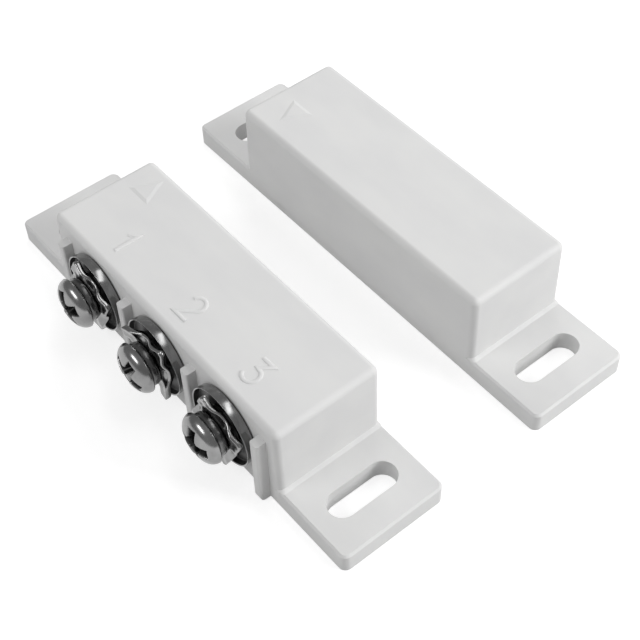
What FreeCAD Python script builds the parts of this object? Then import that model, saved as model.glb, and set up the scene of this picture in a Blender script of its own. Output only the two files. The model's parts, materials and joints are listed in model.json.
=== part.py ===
import FreeCAD, Part
import os

from FreeCAD import Vector

# A surface-mounted window contact: a switch half with three screw terminals
# along one side, and the plain magnet half that faces it across the gap.
# Millimetres, +Z up. The switch half stands over the origin with its long
# axis along X and its screw terminals toward -Y. The magnet half lies at +Y.
# Both undersides are at z = 0, where they meet the frame they are fixed to.

# Outer size that both halves share; the flanges reach out past the body
WIDTH = 14.2
HEIGHT = 12.7
FLANGE_REACH = 10.65
FLANGE_THICK = 2.7
FLANGE_CORNER_R = 0.9
FLANGE_EDGE = 0.25

# Raised body between the flanges, drafted so that it leaves the mould
BODY_LENGTH = 42.7
BODY_END_DRAFT = 0.2
BODY_CORNER_R = 0.8
BODY_TOP_R = 0.8
FOOT_REACH = 0.45

# Fixing slots, one across each flange
SLOT_WIDTH = 3.5
SLOT_TOTAL = 9.2
SLOT_END = 5.4

# Shell, and the plate that closes it from below
WALL = 1.4
ROOF = 1.5
END_WALL = 1.8
BASE_THICK = 1.3
BASE_STEP = 0.55
STEP_CORNER_R = 1.2
BASE_GAP = 0.05

# How the magnet half stands beside the switch half
MAGNET_X = 0.2
MAGNET_Y = 27.9

# Screw terminals: three alike, side by side
TERMINAL_PITCH = 12.5
TERMINAL_SHIFT = 0.25
TERMINAL_DROP = 5.8
CUP_FOOT_R = 4.5
CUP_RIM_R = 5.0
CUP_DEPTH = 1.35
SLEEVE_R = 2.7
FLARE_R = 3.3
FLARE_THICK = 0.6

# Fins that stand between the terminals
FIN_PITCH = 12.4
FIN_THICK = 1.25
FIN_REACH = 1.32
FIN_DROP = 2.4
FIN_EDGE_R = 0.3
FIN_FOOT_R = 0.8

# Terminal screws, each with a square clamping plate and a spring washer
SCREW_R = 1.75
SCREW_FIT = 0.03
SHANK_LENGTH = 6.3
HEAD_R = 3.2
HEAD_HEIGHT = 1.8
HEAD_RIM = 0.75
HEAD_FLAT_R = 2.1
RECESS_REACH = 1.75
RECESS_TIP = 0.75
RECESS_WIDTH = 0.95
RECESS_TAPER = 0.2
RECESS_DEPTH = 1.15
RECESS_TURN = (28.0, 66.0, 8.0)
CLAMP_SIDE = 7.1
CLAMP_THICK = 0.7
CLAMP_CORNER = 0.4
ARCH_RISE = 0.35
ARCH_START = 0.3
ARCH_SPAN = 2.75
ARCH_FADE = 1.5
ARCH_CREST = 0.5
CLAMP_TURN = (-24.0, 8.0, -26.0)
SPRING_R = 2.75
SPRING_THICK = 1.2
SPRING_SLIT = 0.5
SPRING_SLANT = 25.0
SPRING_TURN = (100.0, 142.0, 94.0)
WASHER_FIT = 0.05

# Changeover reed: a moving blade between two fixed ones, sealed in glass
REED_Y = 3.0
REED_DROP = 2.7
GLASS_R = 1.3
GLASS_BORE_R = 0.95
GLASS_LENGTH = 15.0
GLASS_SEAL = 1.3
LEAD_R = 0.35
FIXED_LEAD_R = 0.3
FIXED_LEAD_SPREAD = 0.42
LEAD_END = 0.7
BLADE_THICK = 0.2
BLADE_HEIGHT = 0.9
BLADE_TAIL = 0.2
ARMATURE_ROOT = 0.5
ARMATURE_GAP = 0.02
ARMATURE_LENGTH = 9.3
CONTACT_OVERLAP = 1.2
CONTACT_TRAVEL = 0.26

# Wires from the terminals to the leads of the reed
LINK_R = 0.4
LINK_REACH = 9.4

# Notched ribs under the roof and posts on the base plate hold the glass
RIB_THICK = 1.0
RIB_X = 6.0
RIB_SPAN = 1.9
POST_X = 3.8
POST_SIDE = 1.4

# Bar magnet, with ribs above it and pads below it
BAR_LENGTH = 28.0
BAR_WIDTH = 6.0
BAR_HEIGHT = 5.0
BAR_DROP = 1.6
BAR_CHAMFER = 0.3
BAR_RIB_X = 11.0
BAR_STOP = 2.5
PAD_X = 7.0
PAD_LENGTH = 4.0

# Sizes and places that follow from the ones above
HALF_W = WIDTH / 2.0
HALF_BODY = BODY_LENGTH / 2.0
HALF_L = HALF_BODY + FLANGE_REACH
SLOT_X = HALF_L - SLOT_END
FACE_Y = -HALF_W
INNER_X = HALF_BODY - END_WALL
INNER_Y = HALF_W - WALL
ROOF_Z = HEIGHT - ROOF
IN_ROOF = HEIGHT - ROOF / 2.0
TERMINAL_Z = HEIGHT - TERMINAL_DROP
FIN_TOP = HEIGHT - FIN_DROP
REED_Z = ROOF_Z - REED_DROP
BAR_Z = ROOF_Z - BAR_DROP - BAR_HEIGHT
CUP_FRONT = FACE_Y - CUP_DEPTH
FLARE_BACK = FLARE_THICK - INNER_Y
CLAMP_FRONT = CUP_FRONT - CLAMP_THICK
SPRING_FRONT = CLAMP_FRONT - SPRING_THICK
TERMINALS = [TERMINAL_SHIFT + TERMINAL_PITCH * k for k in (-1, 0, 1)]
FINS = [TERMINAL_SHIFT + FIN_PITCH * (k - 1.5) for k in range(4)]
HALF_GLASS = GLASS_LENGTH / 2.0
SEAL_X = HALF_GLASS - GLASS_SEAL
ROOT_X = ARMATURE_ROOT - SEAL_X
TIP_X = ROOT_X + ARMATURE_GAP + ARMATURE_LENGTH

# Far enough for a cutter to run clear of what it cuts
CLEAR = 1.0


def block(x0, x1, y0, y1, z0, z1):
    return Part.makeBox(x1 - x0, y1 - y0, z1 - z0, Vector(x0, y0, z0))


def rod(r, start, end):
    run = end.sub(start)
    return Part.makeCylinder(r, run.Length, start, run)


def outline(points):
    return Part.Face(Part.makePolygon(points + [points[0]]))


def bridge(low, top):
    """Solid with flat faces between two outlines with as many corners each;
    the first one winds so that it faces the second."""
    faces = [outline(low[::-1]), outline(top)]
    for i in range(len(low)):
        j = (i + 1) % len(low)
        faces.append(outline([low[i], low[j], top[j], top[i]]))
    return Part.Solid(Part.Shell(faces))


def spun(profile, x, z):
    """Round piece about an axis along Y; the profile holds (radius, y) pairs."""
    face = outline([Vector(x + r, y, z) for r, y in profile])
    return face.revolve(Vector(x, 0, z), Vector(0, 1, 0), 360)


def turned(shape, x, angle):
    """The shape, turned about the axis of the terminal at x."""
    shape.rotate(Vector(x, 0, TERMINAL_Z), Vector(0, 1, 0), angle)
    return shape


def upright_edges(shape):
    """Edges that climb more than they lean."""
    found = []
    for e in shape.Edges:
        box = e.BoundBox
        if box.ZLength > 0.3 * box.DiagonalLength:
            found.append(e)
    return found


def edges_at(shape, z):
    near = 1e-4
    found = []
    for e in shape.Edges:
        box = e.BoundBox
        if abs(box.ZMin - z) < near and abs(box.ZMax - z) < near:
            found.append(e)
    return found


def rounded_block(hx, hy, z0, z1, r):
    slab = block(-hx, hx, -hy, hy, z0, z1)
    return slab.makeFillet(r, upright_edges(slab))


def tapered_block(hx0, hx1, hy0, hy1, z0, z1, r):
    """Block whose ends and sides lean in toward its top, with round corners."""
    corners = ((-1, -1), (1, -1), (1, 1), (-1, 1))
    low = [Vector(sx * hx0, sy * hy0, z0) for sx, sy in corners]
    top = [Vector(sx * hx1, sy * hy1, z1) for sx, sy in corners]
    form = bridge(low, top)
    return form.makeFillet(r, upright_edges(form))


def fixing_slot(x):
    """Cutter for the round-ended slot that runs across a flange."""
    r = SLOT_WIDTH / 2.0
    arc_y = SLOT_TOTAL / 2.0 - r
    low = -CLEAR
    top = FLANGE_THICK + CLEAR
    cut = block(x - r, x + r, -arc_y, arc_y, low, top)
    for y in (-arc_y, arc_y):
        cut = cut.fuse(rod(r, Vector(x, y, low), Vector(x, y, top)))
    return cut.removeSplitter()


def outer_form():
    """Flanged block that both halves start from."""
    flanges = rounded_block(HALF_L, HALF_W, 0.0, FLANGE_THICK, FLANGE_CORNER_R)
    flanges = flanges.makeChamfer(FLANGE_EDGE, edges_at(flanges, FLANGE_THICK))
    reach = HALF_BODY - BODY_CORNER_R
    core = block(-reach, reach, -HALF_W, HALF_W, 0.0, FLANGE_THICK)
    body = tapered_block(HALF_BODY, HALF_BODY - BODY_END_DRAFT, HALF_W, HALF_W,
                         FLANGE_THICK, HEIGHT, BODY_CORNER_R)
    body = body.makeFillet(BODY_TOP_R, edges_at(body, HEIGHT))
    foot = tapered_block(HALF_BODY + FOOT_REACH, HALF_BODY - BODY_END_DRAFT, HALF_W, HALF_W - FOOT_REACH,
                         FLANGE_THICK, FLANGE_THICK + FOOT_REACH, BODY_CORNER_R)
    form = flanges.fuse([core, body, foot]).removeSplitter()
    for x in (-SLOT_X, SLOT_X):
        form = form.cut(fixing_slot(x))
    return form


def hollow():
    """Space under the roof, and the wider step that takes the base plate."""
    room = block(-INNER_X, INNER_X, -INNER_Y, INNER_Y, -CLEAR, ROOF_Z)
    step = rounded_block(INNER_X + BASE_STEP, INNER_Y + BASE_STEP, -CLEAR, BASE_THICK, STEP_CORNER_R)
    return room.fuse(step)


def base_plate():
    """Plate in the step, flush with the underside."""
    grow = BASE_STEP - BASE_GAP
    return rounded_block(INNER_X + grow, INNER_Y + grow, 0.0, BASE_THICK, STEP_CORNER_R - BASE_GAP)


def fin(x):
    """Divider that stands on the terminal face; its foot rounds under."""
    front = FACE_Y - FIN_REACH
    back = FACE_Y + WALL / 2.0
    half = FIN_THICK / 2.0
    blank = block(x - half, x + half, front, back, 0.0, FIN_TOP)
    nose = [e for e in upright_edges(blank) if e.BoundBox.YMax < FACE_Y]
    blank = blank.makeFillet(FIN_EDGE_R, nose)
    under = block(x - FIN_THICK, x + FIN_THICK, front - CLEAR, front + FIN_FOOT_R, -CLEAR, FIN_FOOT_R)
    centre_y = front + FIN_FOOT_R
    under = under.cut(rod(FIN_FOOT_R, Vector(x - FIN_THICK, centre_y, FIN_FOOT_R),
                          Vector(x + FIN_THICK, centre_y, FIN_FOOT_R)))
    return blank.cut(under)


def reed_ribs():
    """Ribs under the roof; the glass lies up against their notches."""
    ribs = []
    for x in (-RIB_X, RIB_X):
        x0 = x - RIB_THICK / 2.0
        x1 = x + RIB_THICK / 2.0
        rib = block(x0, x1, REED_Y - RIB_SPAN, REED_Y + RIB_SPAN, REED_Z - GLASS_R, IN_ROOF)
        mouth = block(x0, x1, REED_Y - GLASS_R, REED_Y + GLASS_R, REED_Z - GLASS_R, REED_Z)
        bed = rod(GLASS_R, Vector(x0, REED_Y, REED_Z), Vector(x1, REED_Y, REED_Z))
        ribs.append(rib.cut(mouth).cut(bed))
    return ribs


def sensor_housing():
    """Switch half's moulding, with fins outside and reed ribs inside."""
    shell = outer_form().cut(hollow())
    shell = shell.fuse([fin(x) for x in FINS] + reed_ribs()).removeSplitter()
    for x in TERMINALS:
        start = Vector(x, FACE_Y - CLEAR, TERMINAL_Z)
        shell = shell.cut(rod(SLEEVE_R, start, Vector(x, FLARE_BACK, TERMINAL_Z)))
    return shell


def terminal_cup(x):
    """Round metal seat for the wire, wider at its rim than at the wall, the
    threaded sleeve behind it and the flare that holds it from inside."""
    bore = SCREW_R + SCREW_FIT
    profile = [
        (bore, CUP_FRONT),
        (CUP_RIM_R, CUP_FRONT),
        (CUP_FOOT_R, FACE_Y),
        (SLEEVE_R, FACE_Y),
        (SLEEVE_R, -INNER_Y),
        (FLARE_R, -INNER_Y),
        (FLARE_R, FLARE_BACK),
        (bore, FLARE_BACK),
    ]
    return spun(profile, x, TERMINAL_Z)


def edge_arches(x, y):
    """Eight low swellings on the plane at y, two along each edge of a clamping
    plate; each has a small flat crest and fades out toward the screw."""
    edge_z = TERMINAL_Z + CLAMP_SIDE / 2.0
    middle = x + ARCH_START + ARCH_SPAN / 2.0
    outlines = []
    for share, rise in ((1.0, 0.0), (ARCH_CREST, ARCH_RISE)):
        half = share * ARCH_SPAN / 2.0
        corners = ((-half, 0.0), (half, 0.0), (0.0, -share * ARCH_FADE))
        outlines.append([Vector(middle + dx, y - rise, edge_z + dz) for dx, dz in corners])
    right = bridge(outlines[0], outlines[1])
    left = right.mirror(Vector(x, 0, TERMINAL_Z), Vector(1, 0, 0))
    return [turned(arch.copy(), x, angle) for arch in (right, left) for angle in (0.0, 90.0, 180.0, 270.0)]


def clamp_plate(x, turn):
    """Square pressure plate. Its middle, its corners and the middles of its
    edges bear on the seat, and each edge arches up twice between them; a flat
    ring takes the washer."""
    half = CLAMP_SIDE / 2.0
    plate = block(x - half, x + half, CLAMP_FRONT, CUP_FRONT, TERMINAL_Z - half, TERMINAL_Z + half)
    corners = [e for e in plate.Edges if e.BoundBox.XLength + e.BoundBox.ZLength < CLAMP_THICK]
    plate = plate.makeChamfer(CLAMP_CORNER, corners)
    plate = plate.fuse(edge_arches(x, CLAMP_FRONT)).cut(edge_arches(x, CUP_FRONT)).removeSplitter()
    seat = rod(SPRING_R + WASHER_FIT, Vector(x, CLAMP_FRONT, TERMINAL_Z), Vector(x, SPRING_FRONT, TERMINAL_Z))
    bore = rod(SCREW_R + WASHER_FIT, Vector(x, FACE_Y, TERMINAL_Z), Vector(x, SPRING_FRONT, TERMINAL_Z))
    return turned(plate.cut([seat, bore]), x, -turn)


def spring_washer(x, turn):
    """Split ring between the clamping plate and the screw head."""
    bore = SCREW_R + WASHER_FIT
    ring = spun([(bore, SPRING_FRONT), (bore, CLAMP_FRONT), (SPRING_R, CLAMP_FRONT),
                 (SPRING_R, SPRING_FRONT)], x, TERMINAL_Z)
    slit = block(x - SPRING_SLIT / 2.0, x + SPRING_SLIT / 2.0, SPRING_FRONT - CLEAR, CLAMP_FRONT + CLEAR,
                 TERMINAL_Z, TERMINAL_Z + SPRING_R + CLEAR)
    middle = (SPRING_FRONT + CLAMP_FRONT) / 2.0
    slit.rotate(Vector(x, middle, TERMINAL_Z), Vector(0, 0, 1), SPRING_SLANT)
    return turned(ring.cut(slit), x, -turn)


def terminal_screw(x, turn):
    """Pan-head screw with a cross recess; the thread is left plain."""
    back = SPRING_FRONT
    front = back - HEAD_HEIGHT
    profile = [
        (0.0, back + SHANK_LENGTH),
        (SCREW_R, back + SHANK_LENGTH),
        (SCREW_R, back),
        (HEAD_R, back),
        (HEAD_R, back - HEAD_RIM),
        (HEAD_FLAT_R, front),
        (0.0, front),
    ]
    screw = spun(profile, x, TERMINAL_Z)
    wide = RECESS_WIDTH / 2.0
    narrow = wide - RECESS_TAPER
    mouth = front - CLEAR
    floor = front + RECESS_DEPTH
    corners = ((-1, -1), (-1, 1), (1, 1), (1, -1))
    low = [Vector(x + sx * RECESS_REACH, mouth, TERMINAL_Z + sz * wide) for sx, sz in corners]
    top = [Vector(x + sx * RECESS_TIP, floor, TERMINAL_Z + sz * narrow) for sx, sz in corners]
    for angle in (0.0, 90.0):
        screw = screw.cut(turned(bridge(low, top), x, angle - turn))
    return screw


def reed_lead(r, x0, x1, y):
    return rod(r, Vector(x0, y, REED_Z), Vector(x1, y, REED_Z))


def reed_blade(x0, x1, y0, y1):
    half = BLADE_HEIGHT / 2.0
    return block(x0, x1, y0, y1, REED_Z - half, REED_Z + half)


def fixed_blade(side, clearance, lead_end):
    """Contact blade and the lead that it is welded to, on one side of the
    moving blade."""
    near = REED_Y + side * (BLADE_THICK / 2.0 + clearance)
    far = near + side * BLADE_THICK
    tongue = reed_blade(TIP_X - CONTACT_OVERLAP, SEAL_X - BLADE_TAIL, min(near, far), max(near, far))
    lead = reed_lead(FIXED_LEAD_R, SEAL_X - 2.0 * BLADE_TAIL, lead_end, REED_Y + side * FIXED_LEAD_SPREAD)
    return lead.fuse(tongue).removeSplitter()


def reed_parts():
    parts = {}
    parts["reed_common_lead"] = reed_lead(LEAD_R, TERMINALS[0] - LEAD_END, ROOT_X, REED_Y)
    parts["reed_armature"] = reed_blade(ROOT_X + ARMATURE_GAP, TIP_X, REED_Y - BLADE_THICK / 2.0,
                                        REED_Y + BLADE_THICK / 2.0)
    parts["reed_nc_blade"] = fixed_blade(-1, 0.0, TERMINALS[1] + LINK_REACH + LEAD_END)
    parts["reed_no_blade"] = fixed_blade(1, CONTACT_TRAVEL, TERMINALS[2] + LEAD_END)

    tube = reed_lead(GLASS_R, -HALF_GLASS, HALF_GLASS, REED_Y)
    tube = tube.cut(reed_lead(GLASS_BORE_R, -SEAL_X, SEAL_X, REED_Y))
    for name in ("reed_common_lead", "reed_nc_blade", "reed_no_blade"):
        tube = tube.cut(parts[name])
    parts["reed_glass"] = tube
    return parts


def link_wire(x0, x1, lead_y, lead_r):
    """Straight wire that starts flush on a terminal's flare and ends over a
    lead of the reed, which it lies on."""
    z = REED_Z + lead_r + LINK_R
    start = Vector(x0, FLARE_BACK, z)
    end = Vector(x1, lead_y + lead_r, z)
    run = end.sub(start).normalize()
    wire = rod(LINK_R, start - run * CLEAR, end)
    return wire.cut(block(-HALF_L, HALF_L, -WIDTH, FLARE_BACK, 0.0, HEIGHT))


def link_wires():
    near_y = REED_Y - FIXED_LEAD_SPREAD
    far_y = REED_Y + FIXED_LEAD_SPREAD
    return {
        "link_wire_1": link_wire(TERMINALS[0], TERMINALS[0], REED_Y, LEAD_R),
        "link_wire_2": link_wire(TERMINALS[1], TERMINALS[1] + LINK_REACH, near_y, FIXED_LEAD_R),
        "link_wire_3": link_wire(TERMINALS[2], TERMINALS[2], far_y, FIXED_LEAD_R),
    }


def sensor_base():
    """Base plate with two posts that hold the glass up in its notches."""
    plate = base_plate()
    inside = BASE_THICK / 2.0
    half = POST_SIDE / 2.0
    for x in (-POST_X, POST_X):
        plate = plate.fuse(block(x - half, x + half, REED_Y - half, REED_Y + half, inside, REED_Z))
    return plate.cut(reed_lead(GLASS_R, -HALF_GLASS, HALF_GLASS, REED_Y))


def magnet_housing():
    """Magnet half's moulding, with the ribs that box in the bar."""
    half = BAR_WIDTH / 2.0
    bar_top = BAR_Z + BAR_HEIGHT
    in_wall = INNER_Y + WALL / 2.0
    ribs = []
    for x in (-BAR_RIB_X, BAR_RIB_X):
        x0 = x - RIB_THICK / 2.0
        x1 = x + RIB_THICK / 2.0
        rib = block(x0, x1, -in_wall, in_wall, BAR_Z, IN_ROOF)
        ribs.append(rib.cut(block(x0, x1, -half, half, BAR_Z, bar_top)))
    for side in (-1, 1):
        x0 = side * BAR_LENGTH / 2.0
        x1 = x0 + side * RIB_THICK
        ribs.append(block(min(x0, x1), max(x0, x1), -half, half, bar_top - BAR_STOP, IN_ROOF))
    return outer_form().cut(hollow()).fuse(ribs).removeSplitter()


def magnet_base():
    """Base plate with two pads that the bar rests on."""
    plate = base_plate()
    half = BAR_WIDTH / 2.0
    inside = BASE_THICK / 2.0
    for x in (-PAD_X, PAD_X):
        pad = block(x - PAD_LENGTH / 2.0, x + PAD_LENGTH / 2.0, -half, half, inside, BAR_Z)
        plate = plate.fuse(pad)
    return plate.removeSplitter()


def bar_magnet():
    half_l = BAR_LENGTH / 2.0
    half_w = BAR_WIDTH / 2.0
    bar = block(-half_l, half_l, -half_w, half_w, BAR_Z, BAR_Z + BAR_HEIGHT)
    return bar.makeChamfer(BAR_CHAMFER, bar.Edges)


def all_parts():
    parts = {"sensor_housing": sensor_housing(), "sensor_base_plate": sensor_base()}
    parts.update(reed_parts())
    parts.update(link_wires())
    for k, x in enumerate(TERMINALS):
        number = str(k + 1)
        parts["terminal_cup_" + number] = terminal_cup(x)
        parts["clamp_plate_" + number] = clamp_plate(x, CLAMP_TURN[k])
        parts["spring_washer_" + number] = spring_washer(x, SPRING_TURN[k])
        parts["terminal_screw_" + number] = terminal_screw(x, RECESS_TURN[k])
    magnet_half = {
        "magnet_housing": magnet_housing(),
        "magnet_base_plate": magnet_base(),
        "bar_magnet": bar_magnet(),
    }
    for name, shape in magnet_half.items():
        shape.translate(Vector(MAGNET_X, MAGNET_Y, 0))
        parts[name] = shape
    return parts


os.makedirs("parts", exist_ok=True)
for node, solid in all_parts().items():
    solid.exportStep("parts/" + node + ".step")
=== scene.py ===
import json
import math

import bmesh
import bpy
from mathutils import Matrix, Vector


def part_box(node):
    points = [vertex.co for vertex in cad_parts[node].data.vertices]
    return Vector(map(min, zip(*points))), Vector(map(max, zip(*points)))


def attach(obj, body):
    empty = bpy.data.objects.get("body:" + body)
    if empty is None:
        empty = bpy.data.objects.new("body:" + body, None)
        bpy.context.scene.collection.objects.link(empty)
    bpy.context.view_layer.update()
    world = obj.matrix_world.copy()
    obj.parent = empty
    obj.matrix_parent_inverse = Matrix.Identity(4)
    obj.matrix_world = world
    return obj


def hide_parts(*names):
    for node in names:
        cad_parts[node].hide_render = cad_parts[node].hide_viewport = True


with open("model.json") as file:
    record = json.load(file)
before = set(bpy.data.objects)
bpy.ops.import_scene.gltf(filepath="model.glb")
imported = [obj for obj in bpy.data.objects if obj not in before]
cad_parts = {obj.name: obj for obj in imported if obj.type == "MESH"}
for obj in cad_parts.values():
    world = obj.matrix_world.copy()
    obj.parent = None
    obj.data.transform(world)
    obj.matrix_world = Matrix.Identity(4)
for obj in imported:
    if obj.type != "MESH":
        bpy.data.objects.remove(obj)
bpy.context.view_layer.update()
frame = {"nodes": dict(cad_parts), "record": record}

# The finish, light and camera for a two-part window contact: a switch half
# with three screw terminals and the plain magnet half beside it. The scene is
# in metres. Sizes below are in millimetres and go through mm(), and angles are
# in degrees, unless a comment says otherwise.
MM_PER_M = 1000.0

# Camera, as fitted to the edges of both halves in a 640 px square picture
PICTURE_PX = 640.0
SENSOR_MM = 36.0
FOCAL_PX = 1321.1
CAMERA_AZIMUTH = 52.24
CAMERA_ELEVATION = 50.27
CAMERA_ROLL = -2.11
CAMERA_DISTANCE = 160.6
CAMERA_AIM = (3.62, 12.87, 0.0)
CLIP_NEAR = 10.0
CLIP_FAR = 10000.0

# How far the pieces of each terminal are turned about its axis
CLAMP_TURN = (-24.0, 8.0, -26.0)
RECESS_TURN = (28.0, 66.0, 8.0)
SPRING_TURN = (100.0, 142.0, 94.0)

# Terminal seat: a flared dish with a boss in it, a sleeve and a flare behind
SEAT_DEPTH = 1.35
SEAT_FOOT_R = 4.5
RIM_WIDTH = 0.16
RIM_DROP = 0.1
RIM_EDGE_R = 0.04
DISH_DEPTH = 0.8
BOSS_R = 2.3
SEAT_LEAN = 0.06
SEAT_BELL = 1.15
SEAT_BELL_R = 0.15
BORE_R = 1.8
SLEEVE_R = 2.7
FLARE_R = 3.3
FLARE_THICK = 0.6
PRESSED_EDGE_R = 0.12
SEAT_POINTS = 128

# Pressure plate: square, with two arches along each edge and a dip between
# them. The bend lifts two opposite corners, as on a plate that has been screwed
# down; there is one value for each terminal.
PLATE_SIDE = 7.1
PLATE_THICK = 0.7
PLATE_CORNER_R = 0.55
PLATE_TOP_EDGE_R = 0.2
PLATE_UNDER_EDGE_R = 0.08
ARCH_RISE = 0.35
ARCH_MIDDLE = 1.7
ARCH_HALF = 1.4
ARCH_FADE = 1.5
EDGE_DROOP = 0.45
DROOP_FADE = 1.1
BEND_START = 3.0
BEND_END = 5.0
PLATE_BEND = (0.0, 0.7, 0.3)
PLATE_POINTS = 256
PLATE_ROWS = 26

# Split washer
WASHER_R = 2.75
WASHER_BORE_R = 1.8
WASHER_THICK = 1.2
WASHER_SLIT = 0.5
WASHER_SLANT = 25.0
WASHER_EDGE_R = 0.4
WASHER_STEPS = 96
WASHER_ARC_STEPS = 3

# Pan-head screw: its dome, and the thread that fades in and out along the shank
HEAD_R = 3.2
HEAD_HEIGHT = 1.8
HEAD_POWER = 2.35
HEAD_UNDER_R = 0.18
HEAD_CREASE = 50.0
HEAD_POINTS = 192
DOME_ROWS = 16
SHANK_LENGTH = 6.3
SHANK_POINTS = 48
THREAD_R = 1.74
THREAD_DEPTH = 0.3
THREAD_PITCH = 0.6
THREAD_COLLAR = 0.1
THREAD_RUN_IN = 0.5
THREAD_RUN_OUT = 0.6
ROWS_PER_PITCH = 8
TIP_INSET = 0.35
TIP_LENGTH = 0.7

# Cross recess: wings whose walls and ends slope by so much depth per width, a
# cone where they meet, and a finer mesh out to RECESS_ZONE_R
RECESS_REACH = 2.3
RECESS_HALF = 0.7
RECESS_DEPTH = 1.6
RECESS_WALL = 4.5
RECESS_END = 2.2
RECESS_CENTRE_R = 1.15
RECESS_CENTRE_WALL = 2.6
RECESS_ROUND = 0.07
RECESS_LIP = 0.25
RECESS_ZONE_R = 2.4
RECESS_ROWS = 48

# Raised marks on the tops. A numeral's place is its foot, an arrow's is the
# middle of its base, and the magnet's arrow is placed from its half's middle.
MARK_RAISE = 0.1
MARK_SUNK = 0.05
STROKE_WIDTH = 0.54
STROKE_TOP = 0.26
NUMERAL_HEIGHT = 3.4
NUMERAL_X = (-11.5, 1.5, 13.0)
NUMERAL_Y = -4.9
NUMERAL_ARC_STEPS = 14
MITRE_LIMIT = 0.4
STROKE_CREASE = 60.0
ARROW_WIDTH = 3.9
ARROW_HEIGHT = 3.85
ARROW_SLOPE = 0.42
ARROW_CREASE = 5.0
SWITCH_ARROW_X = -16.95
SWITCH_ARROW_Y = 2.07
MAGNET_ARROW_X = -16.3
MAGNET_ARROW_Y = -1.0

# Meshes: steps in a rounded corner and in a quarter turn, and the least angle
# between faces that stays sharp
CORNER_STEPS = 5
QUARTER_STEPS = 4
CREASE = 35.0

TERMINALS = (1, 2, 3)
HOUSING = "housing"

# Places of the finishes on a seat, whose dish is painted darker as shade
PLAIN = 0
SHADED = 1

# Mesh value that says how deep in a screw's recess a point lies, from 0 to 1,
# and the share of the metal's colour left at 1 by the shade painted there
SHADE_ATTRIBUTE = "hollow"
PAINTED_SHADE_SHARE = 0.2

# Noises, as (cells per metre, detail), and the spans of their values in use
FLOW_NOISE = (90.0, 3.0)
PATCH_NOISE = (450.0, 5.0)
RIPPLE_NOISE = (320.0, 2.0)
CLOUD_NOISE = (520.0, 6.0)
WEAR_NOISE = (900.0, 6.0)
TOOL_NOISE = (2600.0, 3.0)
GLASS_NOISE = (300.0, 3.0)
GLASS_RIPPLE_NOISE = (700.0, 2.0)
PAPER_NOISE = (900.0, 4.0)
SPARK_DETAIL = 3.0
NOISE_SPAN = (0.3, 0.7)
FLOW_SPAN = (0.35, 0.65)

# Bumps, as (depth, strength)
SPARK_BUMP = (0.02, 0.25)
RIPPLE_BUMP = (0.03, 0.3)
TOOL_BUMP = (0.012, 0.35)
GLASS_BUMP = (0.01, 0.3)

# Scale of a noise's coordinates along x, y and z: even, or less along x or y,
# which draws the noise out that way
EVEN = (1.0, 1.0, 1.0)
FLOWED = (1.0, 2.2, 2.2)
ROLLED = (1.0, 0.35, 1.0)
DRAWN = (0.2, 1.0, 1.0)

# Plastics by slot: name, darkest and lightest colour, span of roughness, and
# the size of the spark grain
PLASTICS = {
    "white_plastic": ("white_abs", (0.68, 0.68, 0.68), (0.71, 0.71, 0.705), (0.55, 0.68), 0.16),
    "base_plastic": ("matt_abs", (0.72, 0.72, 0.71), (0.79, 0.79, 0.78), (0.5, 0.68), 0.3),
}
PLASTIC_IOR = 1.5

# Metals by slot: name, darkest and lightest colour, span of roughness, and the
# scale of the fine marks. Two are no slot's own: a dish's, which is painted shade,
# and a split washer's.
METALS = {
    "terminal_steel": ("pressed_nickel", (0.22, 0.22, 0.22), (0.32, 0.32, 0.32), (0.12, 0.24), ROLLED),
    "screw_steel": ("turned_nickel", (0.23, 0.23, 0.23), (0.32, 0.32, 0.32), (0.16, 0.28), EVEN),
    "hollow": ("painted_shade_nickel", (0.045, 0.045, 0.045), (0.085, 0.085, 0.085), (0.3, 0.5), EVEN),
    "spring": ("spring_steel", (0.1, 0.1, 0.1), (0.17, 0.17, 0.17), (0.18, 0.32), ROLLED),
    "reed_alloy": ("flashed_alloy", (0.5, 0.42, 0.27), (0.66, 0.58, 0.4), (0.2, 0.35), DRAWN),
    "copper_wire": ("bare_copper", (0.45, 0.19, 0.1), (0.68, 0.33, 0.18), (0.22, 0.4), DRAWN),
    "magnet_alloy": ("cast_magnet_alloy", (0.09, 0.09, 0.09), (0.17, 0.17, 0.17), (0.4, 0.65), EVEN),
}

# Sealing glass of the reed
GLASS_COLOURS = ((0.55, 0.74, 0.6), (0.68, 0.84, 0.71))
GLASS_ROUGHNESS = (0.03, 0.09)
GLASS_CLEARNESS = 0.9
GLASS_IOR = 1.5

# Floor: half its side, its drop below the undersides, and its colours. It glows
# for rays from the camera, a mirror or glass, more strongly far out: distances
# where that starts and ends, and the glow there.
FLOOR_HALF = 6000.0
FLOOR_DROP = 0.02
FLOOR_COLOURS = ((0.54, 0.54, 0.54), (0.56, 0.56, 0.56))
GLOW_REACH = (100.0, 600.0)
GLOW_LEVEL = (0.65, 0.84)

# Light: the level all round, and the lamps as (name, direction from the part,
# width, height, radiance)
SKY_LEVEL = 0.34
LAMP_DISTANCE = 420.0
LAMPS = (
    ("right_light", (0.66, 0.62, 0.42), 220.0, 220.0, 8.4),
    ("back_light", (-0.66, 0.62, 0.42), 160.0, 160.0, 5.0),
    ("front_light", (-0.13, -0.7, 0.69), 240.0, 100.0, 6.8),
    ("top_light", (0.08, 0.28, 0.957), 240.0, 80.0, 3.0),
)


def mm(value):
    return value * 0.001


def quarter_turns():
    """Angles, in radians, from 0 to a quarter turn."""
    return [math.radians(90.0 * k / QUARTER_STEPS) for k in range(QUARTER_STEPS + 1)]


def smoothstep(low, high, value):
    t = min(1.0, max(0.0, (value - low) / (high - low)))
    return t * t * (3.0 - 2.0 * t)


# Terminal places, taken from the seats in the frame


def terminal_axis(number):
    """Axis of a terminal: x and z of its centre, and y of the seat's front."""
    low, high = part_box("terminal_cup_%d" % number)
    return (low.x + high.x) / 2.0, (low.z + high.z) / 2.0, low.y


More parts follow.
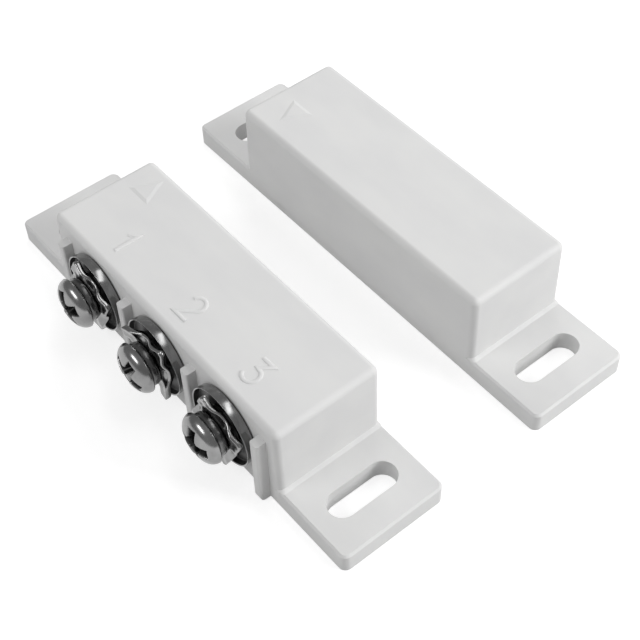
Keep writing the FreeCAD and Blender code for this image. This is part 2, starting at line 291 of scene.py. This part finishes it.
def terminal_matrix(number, turn=0.0):
    """Places local x, forward and z at a terminal; forward runs out of the
    housing, from the front of the seat. The turn is about that axis."""
    x, z, front = terminal_axis(number)
    spin = Matrix.Rotation(math.radians(-turn), 4, "Y")
    return Matrix.Translation((x, front, z)) @ spin


# Mesh helpers; local points are in millimetres as (x, forward, z)


def finished_object(name, bm, place, crease=CREASE):
    """Object from a bmesh, with its vertices moved to their real place."""
    bmesh.ops.recalc_face_normals(bm, faces=bm.faces)
    limit = math.radians(crease)
    for face in bm.faces:
        face.smooth = True
    for edge in bm.edges:
        if len(edge.link_faces) == 2 and edge.calc_face_angle(0.0) > limit:
            edge.smooth = False
    mesh = bpy.data.meshes.new(name)
    bm.to_mesh(mesh)
    bm.free()
    mesh.transform(place)
    obj = bpy.data.objects.new(name, mesh)
    bpy.context.scene.collection.objects.link(obj)
    even = obj.modifiers.new("even_normals", "WEIGHTED_NORMAL")
    even.keep_sharp = True
    return obj


def local(x, forward, z):
    return Vector((mm(x), -mm(forward), mm(z)))


def join_rings(bm, inner, outer):
    """Faces between two rings; one may have a whole multiple of the other's
    points."""
    many, few = (inner, outer) if len(inner) >= len(outer) else (outer, inner)
    step = len(many) // len(few)
    for i in range(len(few)):
        j = (i + 1) % len(few)
        run = [many[(i * step + k) % len(many)] for k in range(step + 1)]
        bm.faces.new(run + [few[j], few[i]])


def ring(bm, points):
    return [bm.verts.new(local(*p)) for p in points]


def circle(count, radius, forward):
    points = []
    for i in range(count):
        angle = 2.0 * math.pi * i / count
        points.append((radius * math.cos(angle), forward, radius * math.sin(angle)))
    return points


def rounded_profile(corners, steps=CORNER_STEPS):
    """Closed (radius, forward) outline whose corners are arcs; each corner is
    given as (radius, forward, arc radius)."""
    out = []
    count = len(corners)
    for i, (r, f, arc) in enumerate(corners):
        here = Vector((r, f))
        before = Vector(corners[i - 1][:2])
        after = Vector(corners[(i + 1) % count][:2])
        a = (before - here).normalized()
        b = (after - here).normalized()
        half = a.angle(b) / 2.0
        if arc <= 0.0:
            out.append(here)
            continue
        reach = arc / math.tan(half)
        centre = here + (a + b).normalized() * (arc / math.sin(half))
        start = here + a * reach - centre
        end = here + b * reach - centre
        sweep = start.angle_signed(end)
        for k in range(steps + 1):
            t = -sweep * k / steps
            turned = Vector((start.x * math.cos(t) - start.y * math.sin(t),
                             start.x * math.sin(t) + start.y * math.cos(t)))
            out.append(centre + turned)
    return out


def lathed(name, corners, place):
    """Closed round piece about the terminal's axis."""
    bm = bmesh.new()
    rings = [ring(bm, circle(SEAT_POINTS, p.x, p.y)) for p in rounded_profile(corners)]
    for i in range(len(rings)):
        join_rings(bm, rings[i - 1], rings[i])
    return finished_object(name, bm, place)


# Terminal pieces


def terminal_seat(number):
    """Flared dish with a boss round its bore, and the sleeve and flare that
    hold it. The inside of the dish is painted darker, as shade."""
    low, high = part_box("terminal_cup_%d" % number)
    radius = (high.x - low.x) / 2.0 * MM_PER_M
    depth = (high.y - low.y) * MM_PER_M
    e = PRESSED_EDGE_R
    flare = -(depth - FLARE_THICK)
    rim = radius - RIM_WIDTH
    corners = [
        (BORE_R, 0.0, e),
        (BOSS_R, 0.0, e),
        (BOSS_R + e, -DISH_DEPTH, e),
        (rim - e, -DISH_DEPTH, e),
        (rim, -RIM_DROP, RIM_EDGE_R),
        (radius, 0.0, RIM_EDGE_R),
        (radius - SEAT_LEAN, -SEAT_BELL, SEAT_BELL_R),
        (SEAT_FOOT_R, -SEAT_DEPTH, 0.0),
        (SLEEVE_R, -SEAT_DEPTH, 0.0),
        (SLEEVE_R, flare, 0.0),
        (FLARE_R, flare, 0.0),
        (FLARE_R, -depth, e),
        (BORE_R, -depth, e),
    ]
    place = terminal_matrix(number)
    seat = lathed("terminal_seat_%d" % number, corners, place)
    axis = place.translation
    # Faces inside the dish take the darker material: painted shade
    for face in seat.data.polygons:
        middle = face.center
        reach = math.hypot(middle.x - axis.x, middle.z - axis.z)
        behind = middle.y - axis.y
        in_dish = mm(BOSS_R) < reach < mm(rim) and mm(RIM_DROP) < behind < mm(DISH_DEPTH + e)
        face.material_index = SHADED if in_dish else PLAIN
    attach(seat, HOUSING)
    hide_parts("terminal_cup_%d" % number)
    return seat


def plate_outline(angle, side, corner):
    """Distance from the centre to the rounded square's edge at an angle."""
    half = side / 2.0
    c = abs(math.cos(angle))
    s = abs(math.sin(angle))
    big, small = max(c, s), min(c, s)
    reach = half / big
    inner = half - corner
    if reach * small <= inner:
        return reach
    along = inner * (c + s)
    return along + math.sqrt(max(0.0, along * along - 2.0 * inner * inner + corner * corner))


def bump(low, high, value):
    """Smooth rise from 0 to 1 at the middle of a span, and back to 0."""
    t = min(1.0, max(0.0, (value - low) / (high - low)))
    return math.sin(math.pi * t) ** 2


def plate_lift(x, z, bend):
    """How far the sheet stands off the seat: each edge dips into the dish at
    its middle, with an arch on both sides of the dip that fades out toward
    the screw, and two opposite corners are bent forward."""
    half = PLATE_SIDE / 2.0
    lift = 0.0
    for along, across in ((abs(x), abs(z)), (abs(z), abs(x))):
        arch = bump(ARCH_MIDDLE - ARCH_HALF, ARCH_MIDDLE + ARCH_HALF, along)
        dip = EDGE_DROOP * (1.0 - smoothstep(0.0, half, along))
        lift += ARCH_RISE * arch * smoothstep(half - ARCH_FADE, half, across)
        lift -= dip * smoothstep(half - DROOP_FADE, half, across)
    diagonal = abs(x - z) / math.sqrt(2.0)
    return lift + bend * smoothstep(BEND_START, BEND_END, diagonal)


def plate_section():
    """Section through the sheet, from the bore over the top to the edge and
    back below. Each point is a share of the way from the bore to where the
    edge's arc starts, that arc's radius, a reach past it, and a height."""
    rows = PLATE_ROWS
    top_r = PLATE_TOP_EDGE_R
    low_r = PLATE_UNDER_EDGE_R
    turns = quarter_turns()
    points = [(k / rows, top_r, 0.0, PLATE_THICK) for k in range(rows + 1)]
    for a in turns[1:]:
        points.append((1.0, top_r, top_r * math.sin(a), PLATE_THICK - top_r + top_r * math.cos(a)))
    for a in reversed(turns[:-1]):
        points.append((1.0, low_r, low_r * math.sin(a), low_r - low_r * math.cos(a)))
    points += [(1.0 - (k + 1) / rows, low_r, 0.0, 0.0) for k in range(rows)]
    for a in turns[1:]:
        points.append((0.0, low_r, -low_r * math.sin(a), low_r - low_r * math.cos(a)))
    for a in reversed(turns[1:]):
        points.append((0.0, low_r, -low_r * math.sin(a), PLATE_THICK - low_r + low_r * math.cos(a)))
    return points


def plate_ring(bm, bend, share, edge_r, past, height):
    """One point of the plate's section, carried round the rounded square."""
    bore = WASHER_BORE_R + PLATE_UNDER_EDGE_R
    points = []
    for i in range(PLATE_POINTS):
        angle = 2.0 * math.pi * i / PLATE_POINTS
        far = plate_outline(angle, PLATE_SIDE, PLATE_CORNER_R) - edge_r
        r = bore + (far - bore) * share + past
        x = r * math.cos(angle)
        z = r * math.sin(angle)
        points.append((x, plate_lift(x, z, bend) + height, z))
    return ring(bm, points)


def pressure_plate(number, turn, bend):
    """Square plate with arched edges, made as one closed sheet."""
    bm = bmesh.new()
    rings = [plate_ring(bm, bend, *point) for point in plate_section()]
    for i in range(len(rings)):
        join_rings(bm, rings[i - 1], rings[i])
    plate = finished_object("pressure_plate_%d" % number, bm, terminal_matrix(number, turn))
    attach(plate, "washers_%d" % number)
    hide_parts("clamp_plate_%d" % number)
    return plate


def split_washer(number, turn):
    """Ring of square section, parted by a slanting slit."""
    back = -WASHER_THICK / 2.0
    front = WASHER_THICK / 2.0
    outline = ((WASHER_BORE_R, back), (WASHER_BORE_R, front), (WASHER_R, front), (WASHER_R, back))
    section = rounded_profile([(r, f, WASHER_EDGE_R) for r, f in outline], WASHER_ARC_STEPS)
    middle_r = (WASHER_R + WASHER_BORE_R) / 2.0
    half_slit = WASHER_SLIT / 2.0 / middle_r
    shear = math.tan(math.radians(WASHER_SLANT)) / middle_r
    span = 2.0 * math.pi - 2.0 * half_slit
    bm = bmesh.new()
    loops = []
    for i in range(WASHER_STEPS + 1):
        base = math.pi / 2.0 + half_slit + span * i / WASHER_STEPS
        points = []
        for p in section:
            angle = base + shear * p.y
            points.append((p.x * math.cos(angle), p.y, p.x * math.sin(angle)))
        loops.append(ring(bm, points))
    for a, b in zip(loops, loops[1:]):
        join_rings(bm, a, b)
    bm.faces.new(loops[0])
    bm.faces.new(loops[-1])
    low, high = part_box("spring_washer_%d" % number)
    place = terminal_matrix(number, turn)
    place.translation.y = (low.y + high.y) / 2.0
    washer = finished_object("split_washer_%d" % number, bm, place)
    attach(washer, "washers_%d" % number)
    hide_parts("spring_washer_%d" % number)
    return washer


def soft_positive(value, blend):
    """Zero below zero, the value above it, with a rounded bend between."""
    return (value + math.sqrt(value * value + blend * blend)) / 2.0


def recess_depth(x, z):
    """Depth of the cross recess below the head's dome: four wings that narrow
    as they go down, and a cone where they meet."""
    deepest = RECESS_CENTRE_WALL * (RECESS_CENTRE_R - math.hypot(x, z))
    for along, across in ((abs(x), abs(z)), (abs(z), abs(x))):
        wall = RECESS_WALL * (RECESS_HALF - across)
        end = RECESS_END * (RECESS_REACH - along)
        deepest = max(deepest, min(wall, end))
    depth = soft_positive(deepest, RECESS_ROUND)
    return depth - soft_positive(depth - RECESS_DEPTH, RECESS_ROUND)


def dome(r):
    """Height of the head, without its recess, at a distance from its axis."""
    share = min(1.0, r / HEAD_R)
    return HEAD_HEIGHT * (1.0 - share ** HEAD_POWER) ** (1.0 / HEAD_POWER)


def head_rings(bm):
    """The head, closed at its crown, as rings from there to its underside."""
    rings = []
    for k in range(1, RECESS_ROWS + 1):
        r = RECESS_ZONE_R * k / RECESS_ROWS
        points = circle(HEAD_POINTS, r, dome(r))
        rings.append(ring(bm, [(x, rise - recess_depth(x, z), z) for x, rise, z in points]))
    for k in range(1, DOME_ROWS + 1):
        swing = math.radians(90.0 * (1.0 - k / DOME_ROWS))
        r = RECESS_ZONE_R + (HEAD_R - RECESS_ZONE_R) * math.cos(swing)
        rings.append(ring(bm, circle(HEAD_POINTS, r, max(dome(r), HEAD_UNDER_R))))
    for a in quarter_turns()[1:]:
        r = HEAD_R - HEAD_UNDER_R + HEAD_UNDER_R * math.cos(a)
        rings.append(ring(bm, circle(HEAD_POINTS, r, HEAD_UNDER_R - HEAD_UNDER_R * math.sin(a))))
    crown = bm.verts.new(local(0.0, dome(0.0) - recess_depth(0.0, 0.0), 0.0))
    first = rings[0]
    for i in range(HEAD_POINTS):
        bm.faces.new((crown, first[i], first[(i + 1) % HEAD_POINTS]))
    return rings


def shank_rings(bm):
    """The threaded shank, as rings from under the head to its tip."""
    rings = [ring(bm, circle(SHANK_POINTS, THREAD_R + THREAD_COLLAR, 0.0))]
    rows = int(SHANK_LENGTH / THREAD_PITCH * ROWS_PER_PITCH)
    for k in range(1, rows + 1):
        depth = SHANK_LENGTH * k / rows
        left = SHANK_LENGTH - depth
        fade = smoothstep(0.0, THREAD_RUN_IN, depth) * smoothstep(0.0, THREAD_RUN_OUT, left)
        tip = TIP_INSET * (1.0 - smoothstep(0.0, TIP_LENGTH, left))
        points = []
        for i in range(SHANK_POINTS):
            angle = 2.0 * math.pi * i / SHANK_POINTS
            phase = (depth / THREAD_PITCH + i / SHANK_POINTS) % 1.0
            tooth = abs(2.0 * phase - 1.0)
            r = THREAD_R - THREAD_DEPTH * tooth * fade - tip
            points.append((r * math.cos(angle), -depth, r * math.sin(angle)))
        rings.append(ring(bm, points))
    return rings


def mark_hollow(screw, place):
    """Writes into the mesh how deep in the recess each point lies, which sets the painted shade."""
    hollow = screw.data.attributes.new(SHADE_ATTRIBUTE, "FLOAT", "POINT")
    back = place.inverted()
    for vertex in screw.data.vertices:
        point = back @ vertex.co * MM_PER_M
        if point.y < 0.0:
            depth = recess_depth(point.x, point.z)
            hollow.data[vertex.index].value = smoothstep(0.0, RECESS_LIP, depth)


def cross_screw(number, turn):
    """Pan-head screw with a cross recess and a cut thread."""
    bm = bmesh.new()
    rings = head_rings(bm) + shank_rings(bm)
    for a, b in zip(rings, rings[1:]):
        join_rings(bm, a, b)
    bm.faces.new(rings[-1])
    low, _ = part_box("terminal_screw_%d" % number)
    place = terminal_matrix(number, turn)
    place.translation.y = low.y + mm(HEAD_HEIGHT)
    screw = finished_object("cross_screw_%d" % number, bm, place, crease=HEAD_CREASE)
    mark_hollow(screw, place)
    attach(screw, "screw_%d" % number)
    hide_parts("terminal_screw_%d" % number)
    return screw


# Raised marks


def arc_points(cx, cy, r, start, end):
    points = []
    for k in range(NUMERAL_ARC_STEPS + 1):
        angle = math.radians(start + (end - start) * k / NUMERAL_ARC_STEPS)
        points.append((cx + r * math.cos(angle), cy + r * math.sin(angle)))
    return points


def numeral_paths(number):
    """Centre lines of a plain 1, 2 or 3 in millimetres, with their foot at
    y = 0 and their middle near x = 0."""
    h = NUMERAL_HEIGHT
    if number == 1:
        return [[(-0.75, h - 0.85), (0.15, h), (0.15, 0.0)]]
    if number == 2:
        r = 1.0
        bowl = arc_points(0.0, h - r, r, 165.0, -35.0)
        return [bowl + [(-r, 0.0), (r + 0.1, 0.0)]]
    r = 1.05
    return [[(-0.85, h), (0.9, h), (-0.2, 2.0 * r)] + arc_points(0.0, r, r, 60.0, -155.0)]


def stroke_sides(path):
    """Unit normals with the stretch that keeps a mitred stroke even."""
    count = len(path)
    sides = []
    for i in range(count):
        here = Vector(path[i])
        before = Vector(path[i - 1]) if i > 0 else None
        after = Vector(path[i + 1]) if i < count - 1 else None
        ahead = (after - here).normalized() if after else (here - before).normalized()
        behind = (here - before).normalized() if before else ahead
        tangent = (ahead + behind).normalized()
        normal = Vector((-tangent.y, tangent.x))
        sides.append(normal / max(MITRE_LIMIT, normal.dot(Vector((-ahead.y, ahead.x)))))
    return sides


def raised_mark(name, paths, place, top):
    """Low ridges with sloping sides along centre lines."""
    wide = STROKE_WIDTH / 2.0
    flat = STROKE_TOP / 2.0
    sunk = -mm(MARK_SUNK)
    crest = mm(MARK_RAISE)
    section = ((-wide, sunk), (-wide, 0.0), (-flat, crest), (flat, crest), (wide, 0.0), (wide, sunk))
    bm = bmesh.new()
    for path in paths:
        rows = []
        for p, side in zip(path, stroke_sides(path)):
            row = []
            for offset, height in section:
                x = place[0] + p[0] + side.x * offset
                y = place[1] + p[1] + side.y * offset
                row.append(bm.verts.new((mm(x), mm(y), top + height)))
            rows.append(row)
        for a, b in zip(rows, rows[1:]):
            for k in range(len(a)):
                j = (k + 1) % len(a)
                bm.faces.new((a[k], a[j], b[j], b[k]))
        bm.faces.new(rows[0])
        bm.faces.new(rows[-1])
    mark = finished_object(name, bm, Matrix.Identity(4), crease=STROKE_CREASE)
    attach(mark, HOUSING)
    return mark


def raised_arrow(name, place, height, top):
    """Low flat triangle with sloping sides; its base is at the place given,
    and it points along +Y, or along -Y where the height is negative."""
    half = ARROW_WIDTH / 2.0
    corners = [Vector((-half, 0.0)), Vector((half, 0.0)), Vector((0.0, height))]
    sides = [(corners[1] - corners[2]).length, (corners[2] - corners[0]).length, ARROW_WIDTH]
    around = sum(sides)
    # The top shrinks toward the centre of the circle that fits in the triangle
    weighted = [corner * side for corner, side in zip(corners, sides)]
    centre = sum(weighted, Vector((0.0, 0.0))) / around
    fitted_r = ARROW_WIDTH * abs(height) / around
    shrink = 1.0 - ARROW_SLOPE / fitted_r
    bm = bmesh.new()
    rings = []
    for share, lift in ((1.0, -mm(MARK_SUNK)), (1.0, 0.0), (shrink, mm(MARK_RAISE))):
        points = [centre + (corner - centre) * share for corner in corners]
        rings.append([bm.verts.new((mm(place[0] + p.x), mm(place[1] + p.y), top + lift))
                      for p in points])
    for lower, upper in zip(rings, rings[1:]):
        join_rings(bm, lower, upper)
    bm.faces.new(rings[0])
    bm.faces.new(rings[-1])
    mark = finished_object(name, bm, Matrix.Identity(4), crease=ARROW_CREASE)
    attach(mark, HOUSING)
    return mark


def raised_marks():
    """Numerals by the terminals, and an arrow on each half toward the other."""
    _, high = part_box("sensor_housing")
    top = high.z
    marks = []
    for number, x in zip(TERMINALS, NUMERAL_X):
        paths = numeral_paths(number)
        marks.append(raised_mark("numeral_%d" % number, paths, (x, NUMERAL_Y), top))
    place = (SWITCH_ARROW_X, SWITCH_ARROW_Y)
    marks.append(raised_arrow("switch_arrow", place, ARROW_HEIGHT, top))
    low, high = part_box("magnet_housing")
    middle_y = (low.y + high.y) / 2.0 * MM_PER_M
    place = (MAGNET_ARROW_X, middle_y + MAGNET_ARROW_Y)
    marks.append(raised_arrow("magnet_arrow", place, -ARROW_HEIGHT, high.z))
    return marks


# Materials


def node_of_type(tree, kind):
    return next(node for node in tree.nodes if node.type == kind)


def node_material(name):
    made = bpy.data.materials.new(name)
    made.use_nodes = True
    tree = made.node_tree
    coords = tree.nodes.new("ShaderNodeTexCoord")
    return made, tree, node_of_type(tree, "BSDF_PRINCIPLED"), coords.outputs["Object"]


def noise_node(tree, coords, cells, detail, stretch=None):
    source = coords
    if stretch:
        mapping = tree.nodes.new("ShaderNodeMapping")
        mapping.inputs["Scale"].default_value = stretch
        tree.links.new(coords, mapping.inputs["Vector"])
        source = mapping.outputs["Vector"]
    grain = tree.nodes.new("ShaderNodeTexNoise")
    grain.inputs["Scale"].default_value = cells
    grain.inputs["Detail"].default_value = detail
    tree.links.new(source, grain.inputs["Vector"])
    return grain.outputs["Fac"]


def ramp_node(tree, source, span, dark, light):
    """Colour that runs from dark to light over a span of the source."""
    ramp = tree.nodes.new("ShaderNodeValToRGB")
    for element, position, colour in zip(ramp.color_ramp.elements, span, (dark, light)):
        element.position = position
        element.color = (*colour, 1.0)
    tree.links.new(source, ramp.inputs["Fac"])
    return ramp.outputs["Color"]


def range_node(tree, source, span, limits):
    """Value that runs from one limit to the other over a span of the source."""
    spread = tree.nodes.new("ShaderNodeMapRange")
    spread.inputs["From Min"].default_value = span[0]
    spread.inputs["From Max"].default_value = span[1]
    spread.inputs["To Min"].default_value = limits[0]
    spread.inputs["To Max"].default_value = limits[1]
    tree.links.new(source, spread.inputs["Value"])
    return spread.outputs["Result"]


def bump_node(tree, source, depth, strength, before=None):
    relief = tree.nodes.new("ShaderNodeBump")
    relief.inputs["Distance"].default_value = mm(depth)
    relief.inputs["Strength"].default_value = strength
    tree.links.new(source, relief.inputs["Height"])
    if before:
        tree.links.new(before, relief.inputs["Normal"])
    return relief.outputs["Normal"]


def moulded_plastic(name, dark, light, roughness, grain_size):
    """Satin moulded plastic: faint flow in its colour and a fine spark grain."""
    made, tree, shader, coords = node_material(name)
    flow = noise_node(tree, coords, *FLOW_NOISE, FLOWED)
    tree.links.new(ramp_node(tree, flow, FLOW_SPAN, dark, light), shader.inputs["Base Color"])
    patches = noise_node(tree, coords, *PATCH_NOISE)
    tree.links.new(range_node(tree, patches, NOISE_SPAN, roughness), shader.inputs["Roughness"])
    grain = noise_node(tree, coords, 1.0 / mm(grain_size), SPARK_DETAIL)
    fine = bump_node(tree, grain, *SPARK_BUMP)
    ripple = noise_node(tree, coords, *RIPPLE_NOISE)
    tree.links.new(bump_node(tree, ripple, *RIPPLE_BUMP, fine), shader.inputs["Normal"])
    shader.inputs["IOR"].default_value = PLASTIC_IOR
    return made


def plated_metal(name, dark, light, roughness, streak):
    """Plated metal: clouded tint, worn gloss and fine rolling or turning marks."""
    made, tree, shader, coords = node_material(name)
    clouds = noise_node(tree, coords, *CLOUD_NOISE)
    tree.links.new(ramp_node(tree, clouds, NOISE_SPAN, dark, light), shader.inputs["Base Color"])
    wear = noise_node(tree, coords, *WEAR_NOISE)
    tree.links.new(range_node(tree, wear, NOISE_SPAN, roughness), shader.inputs["Roughness"])
    marks = noise_node(tree, coords, *TOOL_NOISE, streak)
    tree.links.new(bump_node(tree, marks, *TOOL_BUMP), shader.inputs["Normal"])
    shader.inputs["Metallic"].default_value = 1.0
    return made


def darken_hollow(made):
    """Paints shade into a metal's colour where the mesh says that it lies in a recess."""
    tree = made.node_tree
    shader = node_of_type(tree, "BSDF_PRINCIPLED")
    plain = shader.inputs["Base Color"].links[0].from_socket
    value = tree.nodes.new("ShaderNodeAttribute")
    value.attribute_name = SHADE_ATTRIBUTE
    mix = tree.nodes.new("ShaderNodeMix")
    mix.data_type = "RGBA"
    mix.blend_type = "MULTIPLY"
    colours = [socket for socket in mix.inputs if socket.type == "RGBA"]
    colours[1].default_value = (PAINTED_SHADE_SHARE, PAINTED_SHADE_SHARE, PAINTED_SHADE_SHARE, 1.0)
    tree.links.new(value.outputs["Fac"], mix.inputs[0])
    tree.links.new(plain, colours[0])
    result = next(socket for socket in mix.outputs if socket.type == "RGBA")
    tree.links.new(result, shader.inputs["Base Color"])


def sealing_glass(name):
    """Tinted glass with a faint ripple from sealing."""
    made, tree, shader, coords = node_material(name)
    clouds = noise_node(tree, coords, *GLASS_NOISE)
    tint = ramp_node(tree, clouds, NOISE_SPAN, *GLASS_COLOURS)
    tree.links.new(tint, shader.inputs["Base Color"])
    gloss = range_node(tree, clouds, NOISE_SPAN, GLASS_ROUGHNESS)
    tree.links.new(gloss, shader.inputs["Roughness"])
    ripple = noise_node(tree, coords, *GLASS_RIPPLE_NOISE)
    tree.links.new(bump_node(tree, ripple, *GLASS_BUMP), shader.inputs["Normal"])
    shader.inputs["Transmission Weight"].default_value = GLASS_CLEARNESS
    shader.inputs["IOR"].default_value = GLASS_IOR
    return made


def make_materials():
    made = {slot: moulded_plastic(*recipe) for slot, recipe in PLASTICS.items()}
    made.update({slot: plated_metal(*recipe) for slot, recipe in METALS.items()})
    made["reed_glass"] = sealing_glass("green_sealing_glass")
    # Shade painted into the screws' recesses
    darken_hollow(made["screw_steel"])
    return made


def dress(obj, slot, *finishes):
    """Gives a piece its finishes, in the order of their places. The slot is not used."""
    for finish in finishes:
        obj.data.materials.append(finish)


def dress_frame(materials):
    """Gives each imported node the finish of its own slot."""
    for entry in frame["record"]["subparts"]:
        obj = frame["nodes"][entry["node"]]
        for holder in obj.material_slots:
            holder.material = materials[entry["material_slot"]]


# Floor, light and camera


def floor():
    """White paper under the part. Its glow makes it white where it is seen, adds
    no light to the part and leaves the part's shadow on it."""
    bm = bmesh.new()
    half = mm(FLOOR_HALF)
    corners = ((-half, -half), (half, -half), (half, half), (-half, half))
    bm.faces.new([bm.verts.new((x, y, -mm(FLOOR_DROP))) for x, y in corners])
    mesh = bpy.data.meshes.new("floor")
    bm.to_mesh(mesh)
    bm.free()
    obj = bpy.data.objects.new("floor", mesh)
    bpy.context.scene.collection.objects.link(obj)
    made, tree, shader, coords = node_material("white_paper")
    paper = noise_node(tree, coords, *PAPER_NOISE)
    tint = ramp_node(tree, paper, NOISE_SPAN, *FLOOR_COLOURS)
    tree.links.new(tint, shader.inputs["Base Color"])
    shader.inputs["Roughness"].default_value = 1.0
    shader.inputs["Specular IOR Level"].default_value = 0.0
    shader.inputs["Emission Color"].default_value = (1.0, 1.0, 1.0, 1.0)
    reach = tree.nodes.new("ShaderNodeVectorMath")
    reach.operation = "LENGTH"
    tree.links.new(coords, reach.inputs[0])
    near_and_far = [mm(distance) for distance in GLOW_REACH]
    glow = range_node(tree, reach.outputs["Value"], near_and_far, GLOW_LEVEL)
    lift = tree.nodes.new("ShaderNodeMath")
    lift.operation = "MULTIPLY"
    tree.links.new(background_rays(tree), lift.inputs[0])
    tree.links.new(glow, lift.inputs[1])
    tree.links.new(lift.outputs[0], shader.inputs["Emission Strength"])
    mesh.materials.append(made)


def background_rays(tree):
    """1 for rays from the camera, a mirror or glass, and 0 for other rays."""
    path = tree.nodes.new("ShaderNodeLightPath")
    total = path.outputs["Is Camera Ray"]
    for other in ("Is Glossy Ray", "Is Transmission Ray"):
        add = tree.nodes.new("ShaderNodeMath")
        add.operation = "MAXIMUM"
        tree.links.new(total, add.inputs[0])
        tree.links.new(path.outputs[other], add.inputs[1])
        total = add.outputs[0]
    return total


def sky():
    """Even soft light from all round."""
    world = bpy.data.worlds.new("studio")
    bpy.context.scene.world = world
    world.use_nodes = True
    shade = node_of_type(world.node_tree, "BACKGROUND")
    shade.inputs["Color"].default_value = (1.0, 1.0, 1.0, 1.0)
    shade.inputs["Strength"].default_value = SKY_LEVEL


def softbox(name, direction, wide, high, radiance):
    """Rectangular lamp that faces the middle of the part."""
    lamp = bpy.data.lights.new(name, "AREA")
    lamp.shape = "RECTANGLE"
    lamp.size = mm(wide)
    lamp.size_y = mm(high)
    lamp.energy = radiance * math.pi * mm(wide) * mm(high)
    obj = bpy.data.objects.new(name, lamp)
    aim = Vector([mm(v) for v in CAMERA_AIM])
    toward = Vector(direction).normalized()
    obj.location = aim + toward * mm(LAMP_DISTANCE)
    obj.rotation_euler = toward.to_track_quat("Z", "Y").to_euler()
    bpy.context.scene.collection.objects.link(obj)


def camera():
    """Camera at the photo's angle; azimuth 0 looks from -Y, 90 from +X."""
    azimuth = math.radians(CAMERA_AZIMUTH)
    elevation = math.radians(CAMERA_ELEVATION)
    roll = math.radians(CAMERA_ROLL)
    level = math.cos(elevation)
    back = Vector((math.sin(azimuth) * level, -math.cos(azimuth) * level, math.sin(elevation)))
    right = Vector((math.cos(azimuth), math.sin(azimuth), 0.0))
    up = back.cross(right)
    rolled_right = right * math.cos(roll) + up * math.sin(roll)
    rolled_up = up * math.cos(roll) - right * math.sin(roll)
    place = Vector([mm(v) for v in CAMERA_AIM]) + back * mm(CAMERA_DISTANCE)
    data = bpy.data.cameras.new("camera")
    data.sensor_width = SENSOR_MM
    data.lens = FOCAL_PX / PICTURE_PX * SENSOR_MM
    data.clip_start = mm(CLIP_NEAR)
    data.clip_end = mm(CLIP_FAR)
    obj = bpy.data.objects.new("camera", data)
    turn = Matrix((rolled_right, rolled_up, back)).transposed().to_4x4()
    obj.matrix_world = Matrix.Translation(place) @ turn
    bpy.context.scene.collection.objects.link(obj)
    bpy.context.scene.camera = obj


def main():
    bpy.context.scene.view_settings.view_transform = "Standard"
    materials = make_materials()
    dress_frame(materials)
    metal = materials["terminal_steel"]
    per_terminal = zip(TERMINALS, CLAMP_TURN, PLATE_BEND, SPRING_TURN, RECESS_TURN)
    for number, clamp, bend, spring, recess in per_terminal:
        # The dish of each seat is painted darker as shade
        dress(terminal_seat(number), "terminal_steel", metal, materials["hollow"])
        dress(pressure_plate(number, clamp, bend), "terminal_steel", metal)
        dress(split_washer(number, spring), "terminal_steel", materials["spring"])
        dress(cross_screw(number, recess), "screw_steel", materials["screw_steel"])
    for mark in raised_marks():
        dress(mark, "white_plastic", materials["white_plastic"])
    floor()
    sky()
    for lamp in LAMPS:
        softbox(*lamp)
    camera()


main()
